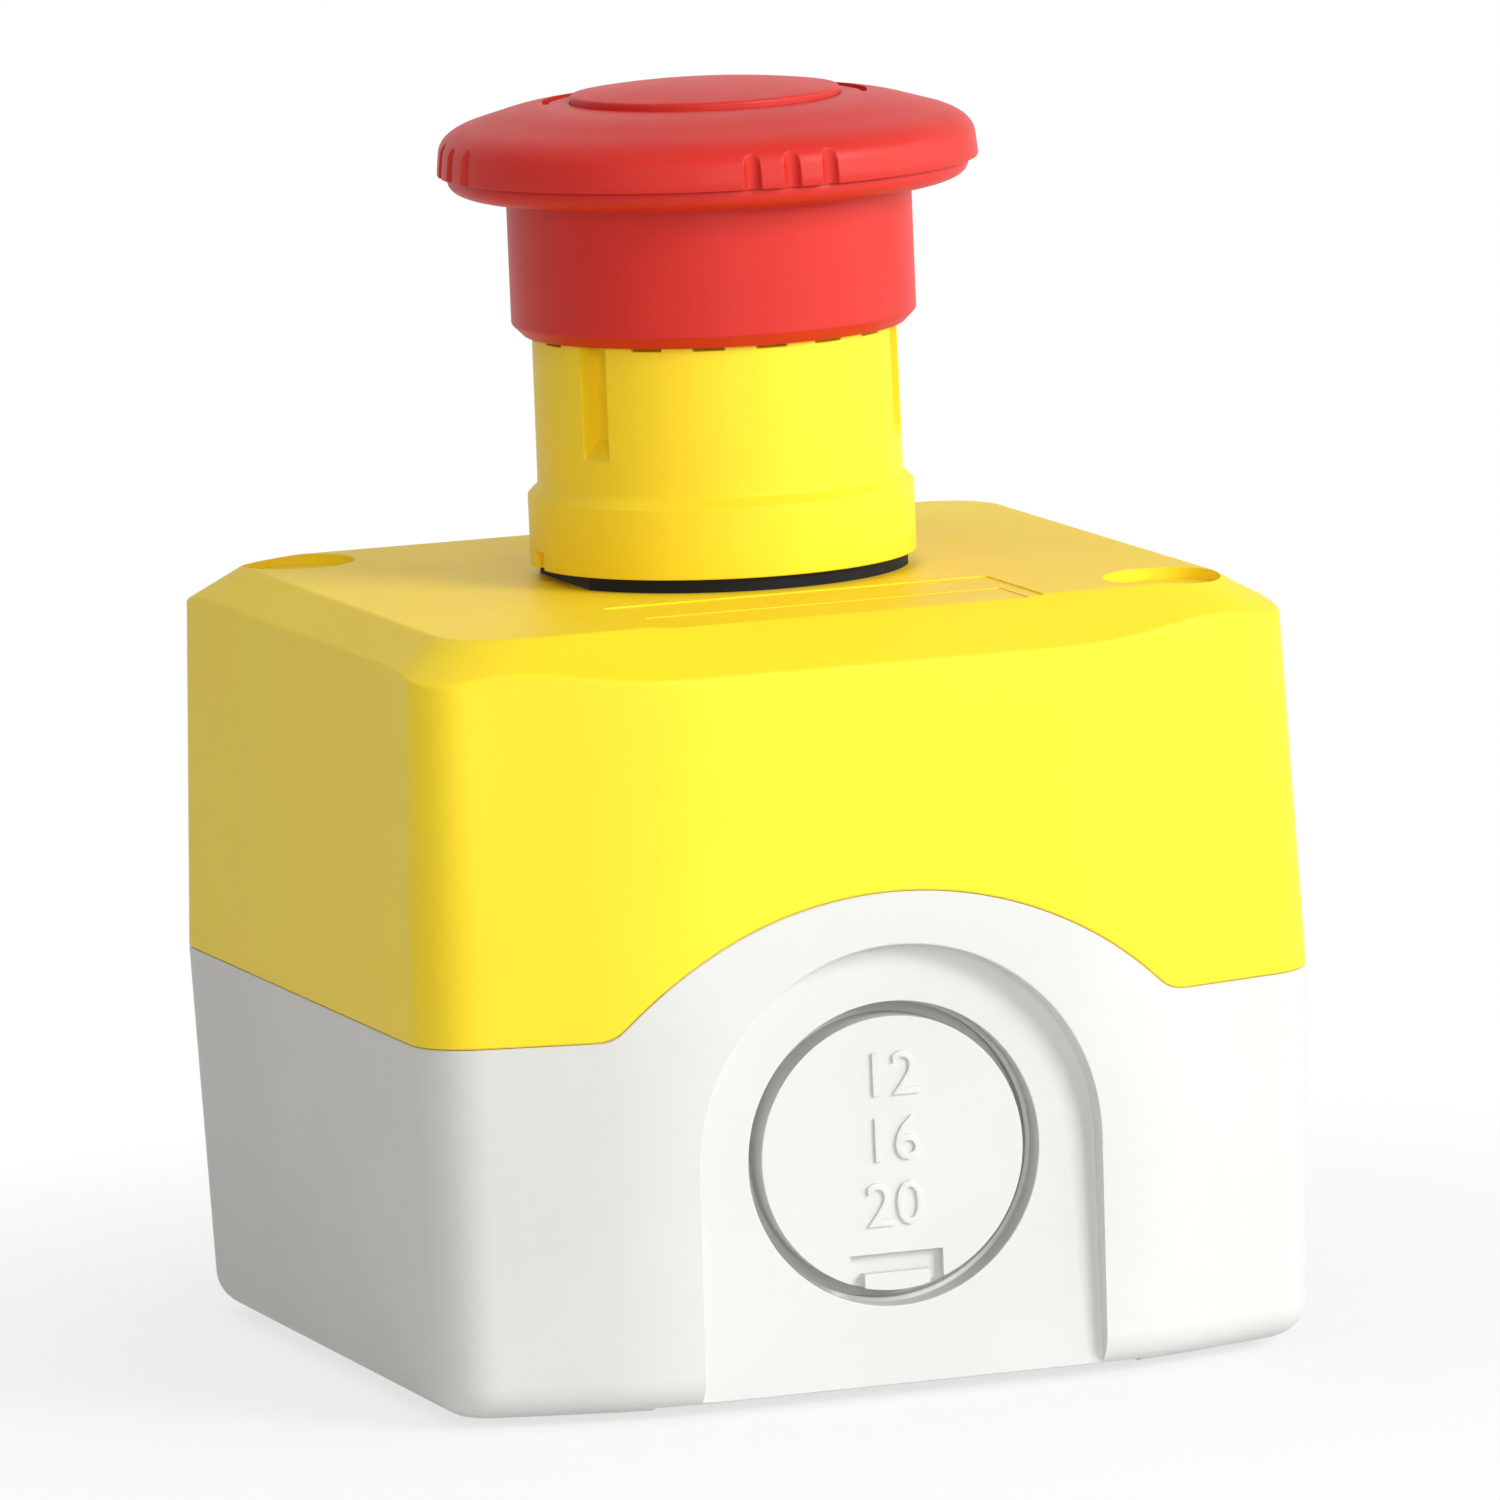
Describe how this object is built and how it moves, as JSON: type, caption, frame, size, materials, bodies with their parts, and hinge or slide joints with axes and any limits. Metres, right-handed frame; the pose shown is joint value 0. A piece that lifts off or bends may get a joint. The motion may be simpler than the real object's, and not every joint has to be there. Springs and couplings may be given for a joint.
{
  "type": "emergency stop control station",
  "caption": "Emergency stop station: red mushroom push button, push to latch and turn to release, on a two-part plastic enclosure with knock-out cable entries and contact blocks inside",
  "frame": {"origin": "middle of the mounting face on the base's underside", "axes": "+Z out of the lid along the button's axis, -Y towards the front face with its cable entry, +X to the right seen from the front"},
  "size_m": [0.0676, 0.0684, 0.091],
  "materials": {
    "grey_plastic": "fine satin moulding",
    "yellow_plastic": "satin moulding",
    "red_plastic": "satin gloss moulding",
    "green_plastic": "satin moulding",
    "natural_plastic": "natural acetal",
    "dark_plastic": "glass-filled moulding",
    "black_plastic": "satin moulding",
    "black_rubber": "matt rubber",
    "zinc_steel": "zinc plated",
    "spring_steel": "drawn wire",
    "brass": "stamped"
  },
  "bodies": {
    "enclosure": {"enclosure_base": "grey_plastic", "enclosure_lid": "yellow_plastic", "lid_seal": "black_rubber", "lid_screws": "zinc_steel", "lid_inserts": "brass", "panel_gasket": "black_rubber", "head_collar": "yellow_plastic", "head_barrel": "dark_plastic", "ring_nut": "zinc_steel", "latch_sleeve": "natural_plastic", "stem_seal": "black_rubber", "return_spring": "spring_steel", "opening_block_housing": "red_plastic", "opening_block_strips": "brass", "opening_block_spring": "spring_steel", "closing_block_housing": "green_plastic", "closing_block_strips": "brass", "closing_block_spring": "spring_steel", "terminal_clamps": "zinc_steel", "terminal_screws": "zinc_steel"},
    "push_rod": {"pusher": "black_plastic", "release_spring": "spring_steel"},
    "button": {"cap_skirt": "red_plastic", "cap_shell": "red_plastic", "cap_disc": "red_plastic", "cap_stem": "natural_plastic", "cap_screw": "zinc_steel"},
    "opening_plunger": {"opening_block_plunger": "natural_plastic", "opening_block_bridge": "brass", "opening_bridge_spring": "spring_steel"},
    "closing_plunger": {"closing_block_plunger": "natural_plastic"},
    "closing_bridge": {"closing_block_bridge": "brass", "closing_bridge_spring": "spring_steel"}
  },
  "joints": [
    {"name": "push_travel", "type": "slide", "parent": "enclosure", "child": "push_rod", "axis": [0, 0, -1], "range_m": [0, 0.0045], "stiffness_N_per_m": 1500, "springref_m": -0.004, "deforming": ["return_spring"]},
    {"name": "release_turn", "type": "hinge", "parent": "push_rod", "child": "button", "pos_m": [0, 0, 0.085], "axis": [0, 0, -1], "range_deg": [0, 40], "stiffness_Nm_per_rad": 0.12, "springref_deg": -11.46},
    {"name": "opening_contact_travel", "type": "slide", "parent": "enclosure", "child": "opening_plunger", "axis": [0, 0, -1], "range_m": [0, 0.0045], "deforming": ["opening_block_spring"]},
    {"name": "closing_contact_travel", "type": "slide", "parent": "enclosure", "child": "closing_plunger", "axis": [0, 0, -1], "range_m": [0, 0.0045], "deforming": ["closing_block_spring"]},
    {"name": "closing_bridge_travel", "type": "slide", "parent": "enclosure", "child": "closing_bridge", "axis": [0, 0, -1], "range_m": [0, 0.0027], "deforming": ["closing_bridge_spring"]}
  ],
  "couplings": [
    {"joint": "opening_contact_travel", "follows": "push_travel", "ratio": 1},
    {"joint": "closing_contact_travel", "follows": "push_travel", "ratio": 1},
    {"joint": "closing_bridge_travel", "follows": "push_travel", "ratio": 0.6}
  ]
}
